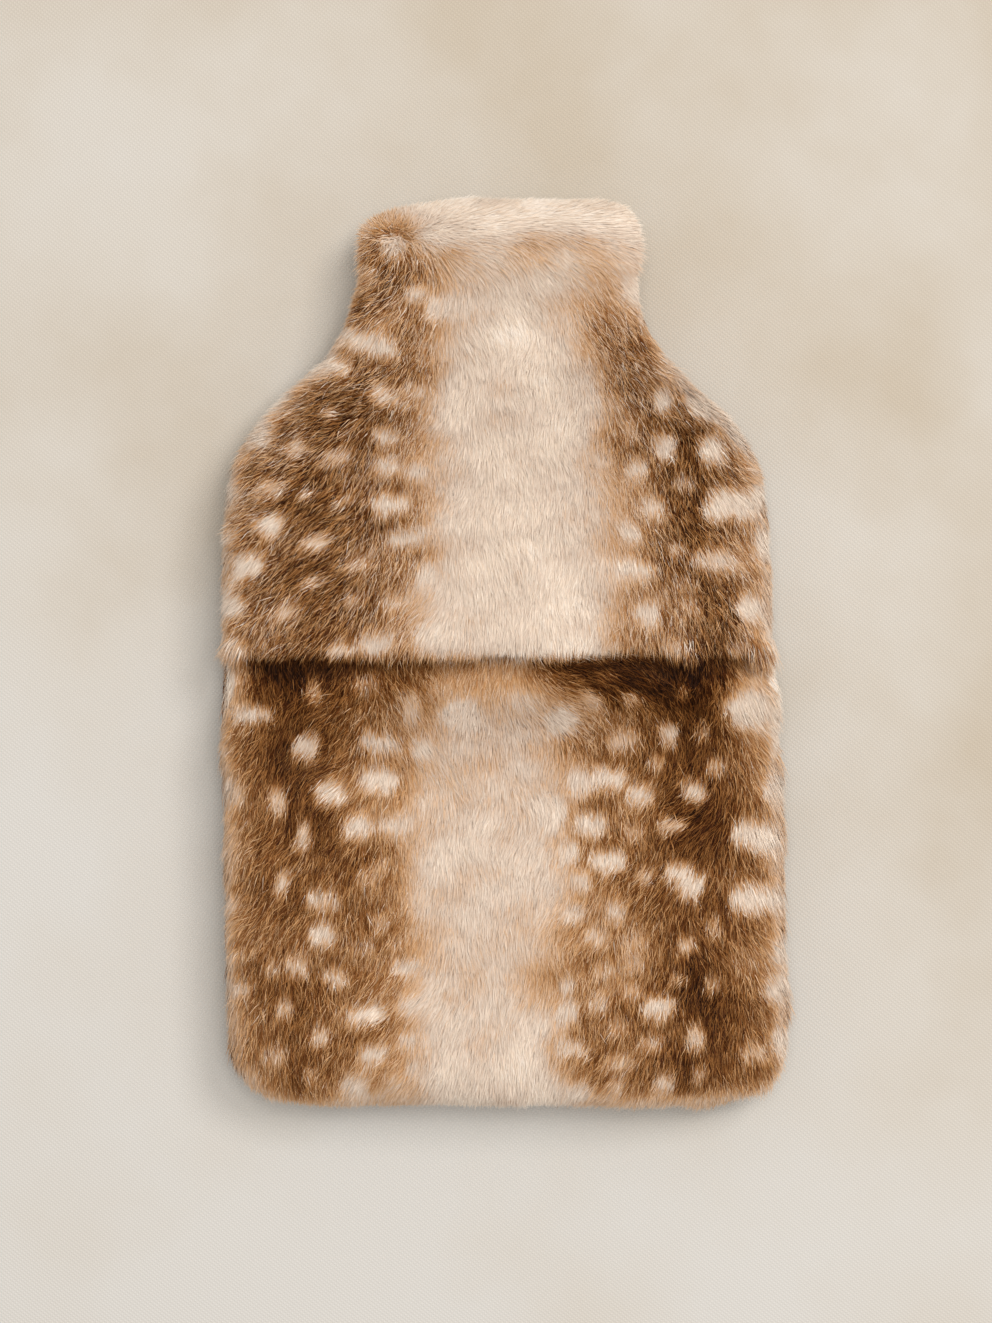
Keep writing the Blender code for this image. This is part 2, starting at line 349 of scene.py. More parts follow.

# %% [markdown]
# ## The coat's pattern
#
# The pattern is printed on the pile, so a strand hardly changes colour along its length, and a
# spot's edge is soft because the strands that cross it stray. A picture of the print isn't
# needed. One number, the tone, says how light the coat is at a place: 0 is the darkest brown and
# 1 the palest cream. It is worked out from a few bands that run down the cover, from soft patches
# and from spots. The bands' rows were typed from profiles of the photo's brightness. The spots'
# rows were typed by hand at first, but a separate script then compared the photo's brightness
# with a render's, worked out their strengths from that, and moved many of them by up to 2 mm.
# The tone holds painted light too: a painted shadow just below the flap's edge, painted light on
# the turned sides and the outline, and some on the top of the neck.

# %% The bands
# In the pocket's rows from -20 to -4 along, just below the flap's edge, the tones darken towards
# that edge: painted shadow under the flap.
COURSES = {  # how each thing changes along the cover: a place along it, and how much there
    # Past 160 along, at the top of the neck, the bands grow paler: partly the coat's cream, and
    # partly painted light on the pile that turns over there.
    "cream": [
        (-180, 0.85), (-160, 0.85), (-145, 0.82), (-130, 0.76), (-112, 0.77), (-84, 0.83),
        (-66, 0.79), (-50, 0.78), (-35, 0.75), (-27, 0.74), (-19, 0.68), (-14, 0.63), (-9, 0.57),
        (-4, 0.5), (-3, 0.87), (60, 0.85), (123, 0.86), (132, 0.82), (142, 0.81), (152, 0.76),
        (160, 0.76), (166, 0.86), (172, 0.91),
    ],
    "left": [
        (-166, -34), (-135, -36), (-118, -40), (-98, -38), (-82, -35), (-66, -37), (-50, -34),
        (-35, -34), (-20, -31), (-4, -30), (-3, -31), (20, -30), (52, -28), (74, -31), (98, -28),
        (131, -27), (140, -29), (147, -27), (155, -32), (163, -36), (170, -42),
    ],
    "left_soft": [(-4, 8), (-3, 10)],
    "right": [
        (-168, 27), (-155, 17), (-144, 24), (-130, 19), (-114, 26), (-98, 30), (-82, 27),
        (-66, 26), (-50, 28), (-35, 27), (-20, 26), (-12, 20), (-4, 13), (-3, 43), (20, 45),
        (50, 45), (68, 42), (83, 38), (107, 39), (123, 32), (131, 28), (139, 28),
    ],
    "right_soft": [
        (-145, 7), (-130, 11), (-114, 14), (-98, 12), (-66, 9), (-50, 13), (-35, 10), (-20, 11),
        (-12, 8), (-4, 6), (-3, 6), (20, 8), (36, 13), (68, 14), (83, 11), (107, 6), (123, 6),
        (139, 10),
    ],
    "left_brown": [
        (-161, 0.48), (-145, 0.46), (-130, 0.39), (-114, 0.44), (-98, 0.4), (-82, 0.45),
        (-50, 0.45), (-35, 0.42), (-19, 0.41), (-4, 0.29), (-3, 0.45), (20, 0.41), (60, 0.41),
        (84, 0.44), (100, 0.4), (111, 0.33), (120, 0.47), (134, 0.4), (139, 0.44), (155, 0.46),
        (163, 0.5), (171, 0.62),
    ],
    "right_brown": [
        (-161, 0.38), (-145, 0.36), (-130, 0.43), (-114, 0.44), (-98, 0.41), (-82, 0.37),
        (-66, 0.39), (-50, 0.4), (-35, 0.34), (-19, 0.3), (-12, 0.24), (-4, 0.16), (-3, 0.46),
        (14, 0.49), (52, 0.45), (68, 0.44), (99, 0.44), (107, 0.46), (123, 0.48), (131, 0.53),
        (139, 0.6), (147, 0.68), (160, 0.76), (170, 0.88),
    ],
    "left_dark": [
        (-145, -82), (-130, -84), (-114, -90), (-98, -85), (-82, -83), (-66, -79), (-50, -82),
        (-35, -78), (-19, -82), (-3, -80), (20, -76), (83, -75), (99, -63), (123, -58), (139, -52),
        (147, -40), (155, -54),
    ],
    "left_depth": [
        (-161, 0.16), (-145, 0.13), (-130, 0.02), (-114, 0.06), (-98, 0.05), (-82, 0.18),
        (-66, 0.2), (-50, 0.26), (-35, 0.26), (-19, 0.28), (-4, 0.33), (-3, 0.1), (20, 0.17),
        (68, 0.18), (99, 0.16), (107, 0.08), (115, 0), (131, 0.02), (139, 0.15), (147, 0.1),
        (160, 0),
    ],
    "left_width": [(-66, 11), (-50, 14), (-35, 18), (-4, 20), (-3, 14), (100, 12), (147, 8)],
    "right_dark": [
        (-161, 77), (-145, 80), (-130, 76), (-98, 82), (-82, 69), (-66, 76), (-50, 71), (-35, 77),
        (-19, 68), (-4, 65), (-3, 83), (20, 84), (36, 73), (52, 76), (83, 73), (99, 56), (123, 46),
    ],
    "right_depth": [
        (-161, 0.18), (-130, 0.2), (-114, 0.15), (-98, 0.08), (-82, 0.14), (-66, 0.18),
        (-35, 0.18), (-19, 0.26), (-4, 0.33), (-3, 0.2), (20, 0.2), (36, 0.14), (52, 0.21),
        (83, 0.19), (99, 0.1), (123, 0.05), (131, 0),
    ],
    "right_width": [(-145, 14), (-98, 12), (-82, 18), (-35, 14), (-19, 18), (-4, 22), (-3, 13)],
}
PAINTED_SIDE_LIGHT = {"left": (0.36, 0.34), "right": (0.44, 0.55)}  # painted light where flap and pocket turn over, more on the right, towards the window
PAINTED_RIM_LIGHT = 0.30  # painted rim light, added to the strands that make the outline
PALEST_PAINTED_SIDE = 0.70  # the painted light doesn't make the turned sides paler than this
WAVER = {  # how much the bands' borders and tones waver: how much, squeeze across, size, seed
    "short": (1.3, 0.5, 9, 21), "long": (1.2, 1, 22, 22),
    "brown": (0.035, 0.6, 12, 23), "cream": (0.03, 0.7, 7, 24),
}


def as_seen(points):
    """Points moved flat to where the camera shows them, as the notes on the pattern give them."""
    lens = np.array(camera.location) / MM
    nearer = (lens[2] - SEAM_HEIGHT / MM) / (lens[2] - points[:, 2])
    return (lens + (points - lens) * nearer[:, None]) * (1, 1, 0)


def waver(points, kind):
    amount, squeeze, size, seed = WAVER[kind]
    return amount * ripple(points * (squeeze, 1, 1), size, seed)


def band_tone(points):
    """The coat without its spots, at points as seen, in millimetres."""
    x = points[:, 0] + waver(points, "short") + waver(points, "long")
    at = {name: np.interp(points[:, 1], *np.transpose(stops)) for name, stops in COURSES.items()}
    cream = 1 / (1 + np.exp(-2 * (x - at["left"]) / at["left_soft"]))
    cream /= 1 + np.exp(-2 * (at["right"] - x) / at["right_soft"])
    brown = np.where(x < 0, at["left_brown"], at["right_brown"])
    for side in ("left", "right"):
        reach = (x - at[side + "_dark"]) / at[side + "_width"]
        brown -= at[side + "_depth"] * np.exp(-(reach**2))
    blotch = (1 - 0.6 * cream) * waver(points, "brown") + cream * waver(points, "cream")
    return brown + (at["cream"] - brown) * cream + blotch, cream


# %% The spots
Spot = namedtuple("Spot", "x y width height strength tilt", defaults=[0])
FLAP_SPOTS = table(Spot, [
    (-44, 160, 10, 11, 0.8), (-53, 149, 9, 6, 0.4, 20), (-35, 141, 8, 6, 0.8),
    (-47, 130, 10, 6, 0.4), (-53, 121, 22, 9, 1.0, -22), (-68, 113, 16, 6, 1.0, -20),
    (-26, 135, 9, 8, 0.8), (-46, 100, 12, 6, 0.9, -30), (-35, 103, 10, 5, 0.7),
    (-69, 94, 8, 4, 0.6), (-82, 95, 7, 6, 0.4), (-96, 86, 10, 12, 1.0), (-61, 86, 8, 4, 0.5),
    (-47, 84, 13, 7, 0.9, -15), (-82, 80, 7, 7, 0.7), (-66, 76, 13, 6, 0.8), (-46, 73, 11, 6, 1.0),
    (-34, 70, 9, 6, 0.9), (-91, 64, 10, 7, 0.7), (-108, 63, 9, 9, 0.8), (-77, 62, 8, 5, 0.7),
    (-64, 58, 9, 5, 0.6), (-44, 58, 17, 8, 1.0), (-92, 50, 11, 9, 1.0), (-109, 44, 9, 8, 0.7),
    (-74, 43, 10, 6, 0.8), (-37, 45, 19, 7, 1.0, 5), (-102, 33, 15, 10, 1.0),
    (-56, 34, 10, 5, 0.6), (-31, 30, 10, 9, 1.0), (-76, 27, 9, 5, 0.7), (-59, 21, 9, 5, 0.6),
    (-43, 19, 12, 5, 0.7), (-108, 17, 12, 10, 0.9), (-86, 16, 9, 7, 0.7), (-28, 6, 19, 10, 1.0),
    (-51, 3, 14, 8, 0.9), (-64, 0, 12, 6, 0.8), (-107, 0, 14, 8, 0.8, -20), (-92, -1, 9, 4, 0.3),
    (78, 96, 10, 10, 1.0), (63, 99, 8, 10, 0.9), (49, 86, 6, 6, 0.5), (63, 80, 9, 9, 0.9),
    (82, 79, 10, 11, 1.0), (39, 75, 8, 6, 0.6), (52, 72, 9, 7, 0.9), (71, 66, 7, 5, 0.6),
    (101, 62, 8, 8, 1.0), (89, 57, 23, 11, 1.0, -5), (58, 56, 9, 8, 0.8), (50, 46, 9, 7, 1.0),
    (68, 40, 7, 5, 0.7), (104, 42, 8, 12, 1.0), (82, 36, 18, 9, 0.8), (52, 32, 18, 7, 1.0, -8),
    (72, 27, 9, 4, 0.7), (73, 18, 7, 5, 0.6), (57, 14, 10, 10, 0.9), (98, 17, 11, 10, 1.0),
    (70, 0, 14, 8, 0.6), (92, -1, 9, 5, 0.4), (52, 164, 12, 14, 0.3), (51, 141, 9, 10, 1.0),
])
POCKET_SPOTS = table(Spot, [
    (-75, -17, 6, 11, 0.6), (-54, -13, 11, 5, 0.6), (-99, -25, 14, 7, 0.9), (-37, -23, 8, 13, 0.6),
    (-17, -25, 15, 13, 0.8), (-78, -38, 12, 12, 0.9), (-49, -37, 17, 8, 0.9, -22),
    (-33, -39, 8, 8, 0.9), (-50, -51, 15, 11, 1.0), (-68, -56, 14, 9, 1.0, -12),
    (-89, -59, 7, 11, 0.8, 10), (-107, -57, 9, 9, 0.6), (-58, -69, 12, 11, 0.9),
    (-42, -69, 13, 8, 0.9), (-79, -73, 6, 13, 0.8), (-49, -85, 9, 6, 0.5), (-54, -89, 9, 5, 0.6),
    (-87, -91, 5, 10, 0.8, -10), (-71, -99, 15, 7, 0.9, -12), (-108, -100, 7, 7, 0.6),
    (-73, -112, 12, 9, 1.0), (-49, -107, 8, 4, 0.7), (-55, -117, 8, 3, 0.7),
    (-43, -116, 6, 3, 0.7), (-91, -125, 8, 5, 0.6), (-82, -125, 8, 8, 0.8),
    (-105, -122, 9, 3, 0.6), (-38, -125, 13, 5, 1.0), (-67, -129, 9, 6, 0.9),
    (-106, -133, 12, 4, 0.8, -15), (-20, -130, 8, 6, 0.5), (-38, -140, 7, 7, 0.8),
    (-28, -138, 9, 7, 0.6), (-86, -141, 6, 6, 0.8), (-54, -143, 19, 6, 1.0),
    (-72, -152, 7, 6, 0.8), (-38, -154, 8, 5, 0.9), (-22, -150, 8, 7, 0.3),
    (-90, -159, 10, 5, 0.8), (-52, -159, 10, 8, 1.0), (-76, -167, 6, 4, 0.6),
    (-36, -165, 7, 6, 0.6), (-59, -172, 10, 9, 0.8), (-44, -170, 8, 6, 0.4),
    (-100, -168, 8, 4, 0.7, -30), (70, -16, 7, 6, 0.5), (34, -20, 8, 8, 0.6), (51, -19, 8, 6, 0.6),
    (42, -10, 9, 4, 0.4), (59, -10, 7, 4, 0.4), (97, -24, 21, 13, 1.0), (23, -27, 13, 10, 1.0),
    (47, -35, 13, 8, 0.7, 20), (65, -33, 8, 10, 0.8, 15), (78, -32, 7, 6, 0.6),
    (60, -44, 6, 7, 0.6), (83, -46, 9, 6, 0.7), (42, -50, 14, 8, 1.0), (30, -53, 10, 12, 0.9),
    (54, -57, 10, 8, 0.9), (75, -55, 12, 8, 0.9), (107, -55, 12, 9, 1.0), (17, -64, 13, 12, 1.0),
    (34, -69, 12, 8, 1.0), (51, -72, 7, 5, 0.7), (67, -69, 10, 6, 0.8), (100, -73, 21, 12, 1.0),
    (13, -82, 11, 8, 0.7), (25, -79, 9, 8, 1.0), (41, -83, 12, 10, 1.0), (56, -88, 6, 6, 0.6),
    (72, -90, 15, 11, 1.0, -40), (31, -90, 8, 7, 0.9), (99, -98, 20, 10, 1.0),
    (27, -104, 10, 6, 1.0), (44, -103, 8, 7, 0.9), (83, -109, 5, 6, 0.6), (36, -113, 9, 8, 0.7),
    (72, -116, 8, 7, 0.8), (52, -115, 9, 6, 0.6), (109, -119, 10, 8, 1.0), (50, -123, 11, 5, 0.7),
    (40, -126, 10, 5, 0.6), (25, -132, 7, 8, 0.8), (50, -135, 8, 5, 0.6), (68, -130, 9, 5, 0.6),
    (82, -132, 7, 6, 0.7, -20), (108, -134, 10, 10, 1.0), (37, -139, 9, 6, 0.9, -20),
    (61, -141, 14, 8, 1.0), (26, -143, 8, 8, 0.9), (45, -149, 9, 5, 0.6), (76, -153, 8, 10, 0.8),
    (27, -157, 16, 5, 1.0, -12), (58, -155, 12, 5, 0.8), (98, -159, 12, 8, 0.7),
    (45, -163, 11, 6, 0.7), (110, -154, 8, 10, 1.0), (77, -167, 6, 6, 0.7), (63, -171, 8, 8, 0.9),
    (45, -172, 8, 8, 0.7), (29, -175, 9, 8, 0.9),
])
SPOT_TONE, SPOT_EDGE = 0.86, 1.1  # how light a spot is, and how wide its soft edge
SPOT_POWER = 2.4  # 2 would make plain ovals, and more squares them off


def add_spots(tone, points, spots):
    """Lightens the tone inside each spot, with an edge a little uneven and soft."""
    uneven = 1 + 0.14 * ripple(points, 4.5, 31)
    for spot in spots:
        near = np.abs(points[:, :2] - (spot.x, spot.y)).max(axis=1) < spot.width + spot.height
        offset = points[near, :2] - (spot.x, spot.y)
        turn = math.radians(spot.tilt)
        across = offset[:, 0] * math.cos(turn) + offset[:, 1] * math.sin(turn)
        up = offset[:, 1] * math.cos(turn) - offset[:, 0] * math.sin(turn)
        sides = [across / spot.width * 2, up / spot.height * 2]
        reach = (np.abs(sides) ** SPOT_POWER).sum(axis=0) ** (1 / SPOT_POWER)
        size = math.sqrt(spot.width * spot.height) / 2
        inside = smooth_step(0.5 + (uneven[near] - reach) * size / (2 * SPOT_EDGE))
        tone[near] += (SPOT_TONE - tone[near]) * inside * spot.strength
    return tone


def back_spots(first=(42, -168), apart=(17, 18), rows=19, places=4):
    """Spots for the back panel, in uneven rows down its two brown flanks."""
    rng = np.random.default_rng(41)
    spots = []
    for side in (-1, 1):
        for row in range(rows):
            for place in range(places):
                x = side * (first[0] + apart[0] * place + rng.uniform(-5, 5))
                y = first[1] + apart[1] * row + rng.uniform(-6, 6)
                width, height, tilt = rng.uniform(7, 15), rng.uniform(5, 9), rng.uniform(-20, 20)
                spots.append(Spot(x, y, width, height, rng.uniform(0.5, 1), tilt))
    return spots


BACK_SPOTS = back_spots()
print("spots:", len(FLAP_SPOTS), "flap,", len(POCKET_SPOTS), "pocket,", len(BACK_SPOTS), "back")


# %% Soft patches of tone, wider than spots, some of them painted shadow
Smudge = namedtuple("Smudge", "x y width height change")
FLAP_PATCHES = table(Smudge, [
    (26, 161, 26, 9, -0.07), (-40, 168, 18, 14, -0.12), (50, 146, 16, 40, 0.09),
    (-30, 149, 12, 6, -0.16), (64, 105, 28, 24, 0.1), (59, 122, 12, 14, -0.1),
    (87, 103, 14, 16, 0.24), (94, 90, 12, 22, 0.2), (-72, 110, 14, 12, 0.24),
    (-91, 98, 14, 14, 0.2), (-61, 156, 8, 20, 0.2), (100, 2, 14, 16, 0.16), (95, 20, 26, 60, 0.05),
    (-14, 134, 20, 14, 0.04), (-25, 154, 14, 8, -0.05),
])
# The three dark rows at y -6 and -4, along the mouth, are painted shadow under the flap's edge.
POCKET_PATCHES_AND_SHADOW = table(Smudge, [
    (101, -7, 18, 20, 0.34), (-106, -6, 9, 18, 0.22), (-97, -158, 22, 40, -0.06),
    (50, -6, 56, 12, -0.14), (-78, -6, 28, 12, -0.07), (0, -4, 190, 5, -0.09),
    (98, -22, 24, 40, 0.3), (10, -22, 16, 10, 0.1), (-106, -13, 14, 20, 0.22),
    (-70, -88, 22, 26, -0.08),
])


def add_patches(tone, points, smudges):
    for patch in smudges:
        across = (points[:, 0] - patch.x) / patch.width * 2
        up = (points[:, 1] - patch.y) / patch.height * 2
        tone += patch.change * np.exp(-(across**2) - up**2)
    return tone


# %% The tone of each panel
Print = namedtuple("Print", "smudges spots")
FLAP_PRINT = Print(FLAP_PATCHES, FLAP_SPOTS)
POCKET_PRINT = Print(POCKET_PATCHES_AND_SHADOW, POCKET_SPOTS)
BACK_PRINT = Print([], BACK_SPOTS)


def painted_side_light(points, normals):
    """How much painted light pales the coat where it turns over the sides, down to their widest
    line, and along its outline.
    """
    flatness = np.abs(normals[:, 2])
    above = smooth_step(points[:, 1] / 10 + 0.5)  # 1 on the flap, 0 on the pocket
    turned = smooth_step((0.98 - 0.08 * above - flatness) / 0.37)
    rim = PAINTED_RIM_LIGHT * smooth_step((0.45 - flatness) / 0.35)
    left, right = (up * above + down * (1 - above) for up, down in PAINTED_SIDE_LIGHT.values())
    topside = smooth_step((normals[:, 2] + 0.12) / 0.3)
    return topside * (rim + turned * np.where(points[:, 0] < 0, left, right))


def coat_tone(points, normals, marks):
    seen = as_seen(points)
    tone, cream = band_tone(seen)
    # Painted light: the coat is made paler on its turned sides and along its outline.
    side_lit = tone + painted_side_light(seen, normals) * (1 - cream)
    tone = np.maximum(tone, np.minimum(side_lit, PALEST_PAINTED_SIDE))
    tone = add_spots(add_patches(tone, seen, marks.smudges), seen, marks.spots)
    return np.clip(tone, 0.02, 0.98)


# %% [markdown]
# ## Which way the pile lies
#
# Pile runs down the cover, but hands have stroked it about: it sweeps outwards over the left
# flank, turns up over the top of the neck, and parts near the mouth. Short notes say which way
# it lies at some hundred and thirty places, and a strand takes the average of the notes near its
# root. Heading is in degrees from straight down the cover, positive towards the right, and lift
# says how much the pile stands up.

# %% Notes on the combing
Stroke = namedtuple("Stroke", "x y heading lift", defaults=[0.0])
FLAP_STROKES = table(Stroke, [
    (-52, 174, -165), (-40, 175, 175), (-20, 174, 165), (0, 174, 160), (20, 174, 160),
    (48, 174, 150), (-54, 167, -110), (-40, 167, 120), (-22, 165, 95), (0, 165, 88), (20, 165, 90),
    (38, 165, 90), (54, 165, 100), (-54, 158, -60), (-38, 158, 20), (-15, 156, 35, 0.1),
    (8, 156, 35, 0.1), (28, 156, 35, 0.1), (50, 157, 60, 0.1), (-55, 145, -50, 0.1),
    (-42, 148, -30, 0.1), (-25, 150, -10, 0.1), (0, 150, 0, 0.1), (25, 150, 5, 0.1),
    (45, 148, 45, 0.1), (50, 136, 40, 0.1), (-57, 130, -50, 0.1), (-40, 130, -15, 0.1),
    (0, 125, 0, 0.1), (40, 124, 10, 0.2), (52, 120, 30, 0.1), (-62, 117, -35, 0.1),
    (-35, 112, -5, 0.2), (40, 105, 0, 0.2), (62, 108, 30, 0.1), (-72, 110, -80, 0.1),
    (-62, 100, -60, 0.2), (-82, 97, -80, 0.2), (-92, 85, -62, 0.1), (-50, 90, -25, 0.2),
    (-75, 80, -50, 0.2), (-100, 65, -50, 0.1), (-60, 65, -25, 0.1), (-35, 65, 0, 0.2),
    (-80, 50, -42, 0.1), (-100, 30, -48), (-80, 20, -48), (-60, 25, -35, 0.1), (-40, 25, -20, 0.2),
    (-92, 8, -42), (-70, 6, -38), (-106, 2, -8), (104, 2, 8), (-45, 5, -5), (0, 80, 0, 0.1),
    (0, 30, 0), (30, 60, 0, 0.1), (30, 10, 0), (0, 2, 0), (62, 85, 5, 0.1), (80, 80, 15, 0.1),
    (95, 75, 35, 0.2), (60, 50, 5, 0.1), (85, 50, 14), (100, 45, 35, 0.1), (50, 22, 15, 0.2),
    (75, 25, 20, 0.1), (97, 20, 32), (60, 4, 3), (80, 4, 12), (97, 3, 30),
])
POCKET_STROKES = table(Stroke, [
    (-105, -10, -10), (-80, -10, 0), (-60, -8, 0, 0.1), (-105, -45, -25), (-90, -30, -5),
    (-64, -25, -40, 0.1), (-75, -45, -28), (-60, -42, -32), (-45, -25, 28, 0.1), (-36, -45, 18),
    (-30, -20, 5, 0.1), (-72, -68, -28), (-95, -70, -16), (-45, -70, -8), (-105, -85, -35),
    (-70, -90, -20), (-95, -110, -12), (-50, -105, 0), (-75, -125, -8), (-48, -125, -22),
    (-105, -140, -10), (-75, -150, -8), (-42, -152, -28), (-90, -170, -5, 0.1), (0, -10, 0, 0.1),
    (0, -45, 2), (0, -80, 0), (0, -120, 0), (0, -165, 0), (10, -50, 10, 0.1), (20, -10, 55, 0.2),
    (32, -12, 65, 0.1), (48, -14, 52), (60, -22, 42), (34, -28, 12, 0.1), (74, -12, -4),
    (80, -28, -4), (34, -40, -10, 0.1), (50, -32, -46, 0.1), (25, -62, 0), (64, -46, -32),
    (72, -58, -38), (48, -60, -8), (98, -10, 28, 0.1), (107, -22, 42, 0.2), (95, -42, 14),
    (107, -45, 40, 0.1), (62, -78, -38), (90, -75, 0), (54, -90, -28, 0.2), (80, -90, 8),
    (106, -90, 30), (30, -100, -10), (60, -110, -5), (106, -108, 42, 0.1), (85, -120, 0),
    (106, -132, 35, 0.2), (45, -130, -12), (75, -145, -5), (35, -160, -28, 0.1),
    (70, -168, -12, 0.1), (100, -160, 25), (20, -140, -4),
])
BACK_STROKES = [Stroke(x, y, 0) for x in (-80, 0, 80) for y in (-150, -50, 50, 150)]
STROKE_REACH = 11.0
AT_A_TIME = 20_000  # points worked on together, so that the arrays stay small


def combed(points, strokes):
    """The direction of the pile across and along the cover, and its lift."""
    notes = np.array([(s.x, s.y) for s in strokes], float)
    turns = np.radians([s.heading for s in strokes])
    facing = np.stack([np.sin(turns), -np.cos(turns)], axis=1)
    lifts = np.array([s.lift for s in strokes])
    way = np.empty((len(points), 2))
    lift = np.empty(len(points))
    for start in range(0, len(points), AT_A_TIME):
        part = slice(start, start + AT_A_TIME)
        gap = points[part, None, :2] - notes[None]
        squares = (gap**2).sum(axis=2)
        closest = squares.min(axis=1, keepdims=True)
        weight = np.exp(-(squares - closest) / (2 * STROKE_REACH**2))
        weight /= weight.sum(axis=1, keepdims=True)
        way[part] = weight @ facing
        lift[part] = weight @ lifts
    return way, lift


# %% [markdown]
# ## Growing the pile
#
# A particle system would do this by hand, but its hairs aren't a mesh, and the model has to be
# one. So the strands are built as joined meshes from arrays: each is a narrow leaf of two
# triangles, thin at its root, widest in the middle and pointed at its tip, and bent where the
# two triangles meet. Roots are scattered evenly over the cloth, by area, with a fixed seed.

# %% Scatter roots over a cloth
def scatter(cloth, count, share, seed):
    """Roots and normals of about count strands. share gives how thickly each place is set."""
    rng = np.random.default_rng(seed)
    mesh = cloth.data
    mesh.calc_loop_triangles()
    corners = numbers(mesh.loop_triangles, "vertices").astype(int)
    places = numbers(mesh.vertices, "co").astype(float) / MM
    turned = numbers(mesh.vertices, "normal").astype(float)
    a, b, c = (places[corners[:, i]] for i in range(3))
    area = np.linalg.norm(np.cross(b - a, c - a), axis=1) / 2
    middle = (a + b + c) / 3
    wanted = area * share(middle, unit(turned[corners].mean(axis=1)))
    wanted *= count / wanted.sum()
    strands = np.floor(wanted + rng.random(len(wanted))).astype(int)
    owner = np.repeat(np.arange(len(corners)), strands)
    mix = rng.random((len(owner), 2))
    over = mix.sum(axis=1) > 1
    mix[over] = 1 - mix[over]
    weights = np.column_stack([1 - mix.sum(axis=1), mix])
    roots = np.einsum("ni,nij->nj", weights, places[corners[owner]])
    normals = unit(np.einsum("ni,nij->nj", weights, turned[corners[owner]]))
    print(cloth.name, round(area.sum() / 100), "cm2 of cloth,", len(owner), "strands")
    return roots, normals


# %% Shape the strands
SLOPE = {"rise": 34.0, "fall": 9.0}  # degrees at which a strand leaves the cloth, and ends
STANDING_RISE = 34.0  # added to both where the pile stands up
ON_END = {"rise": 42.0, "fall": 8.0}  # the same where the pile parts, and leans every way
PARTED = 0.65  # below this share of agreement between the notes, the pile starts to stand
SAG_SIDES, SAG_ENDS = 0.35, 0.5  # how far the pile hangs down on the cover's sides and ends
STRANDS_TO_A_LOCK = 45
FLOOR_CLEARANCE = 0.4
BEND_AT = 0.48  # how far up a strand it bends
LENGTHS, WIDTHS = (0.74, 1.10), (0.75, 1.2)  # the least and the most, beside the pile's own
GUARD_SHARE = 0.32  # of the strands that are guard hairs
GUARD = {  # for a guard hair, and for the softer hair around it
    "length": (1.12, 0.94), "width": (0.8, 1.2), "spread": (0.30, 0.16), "tone": (0.14, -0.10),
}
CREAM_ROOTS = 0.04  # how much darker a cream strand is towards its root
STRAY = 0.8  # how far off a strand may take its colour from, which softens every border

Pile = namedtuple("Pile", "root middle tip facing width tone_low tone_tip shade")


def lay_direction(roots, normals, strokes):
    """The way the pile lies along the cloth, and how steeply it leaves it and ends, in radians.
    Where the notes nearby point apart it stands steeper, as at a parting."""
    way, lift = combed(roots, strokes)
    stand = 1 - smooth_step(np.linalg.norm(way, axis=1) / PARTED)
    rise, fall = (
        np.radians((SLOPE[end] + STANDING_RISE * lift) * (1 - stand) + ON_END[end] * stand)
        for end in ("rise", "fall")
    )
    along = np.column_stack([way, np.zeros(len(way))])
    steep = 1 - np.abs(normals[:, 2])
    along[:, 2] -= SAG_SIDES * smooth_step((steep - 0.3) / 0.6)
    along[:, 2] -= SAG_ENDS * smooth_step((np.abs(normals[:, 1]) - 0.4) / 0.5)
    flat = along - (along * normals).sum(axis=1, keepdims=True) * normals
    return unit(flat), rise, fall, stand


def brownness(tone):
    """1 in the browns, falling to 0 in the creams, whose strands differ less from each other."""
    return 1 - smooth_step((tone - 0.35) / 0.45)


def even_neck(roots):
    """1 on the pillow of smooth pile along the top of the neck, and 0 elsewhere."""
    return smooth_step((roots[:, 1] - 160) / 8)


def nearest(places, points):
    """For each point, which of the places lies nearest to it."""
    tree = kdtree.KDTree(len(places))
    for i, place in enumerate(places):
        tree.insert(place, i)
    tree.balance()
    return np.array([tree.find(point)[1] for point in points])


def swing(start, end, angle):
    """Directions turned by an angle from start towards end."""
    return start * np.cos(angle)[:, None] + end * np.sin(angle)[:, None]


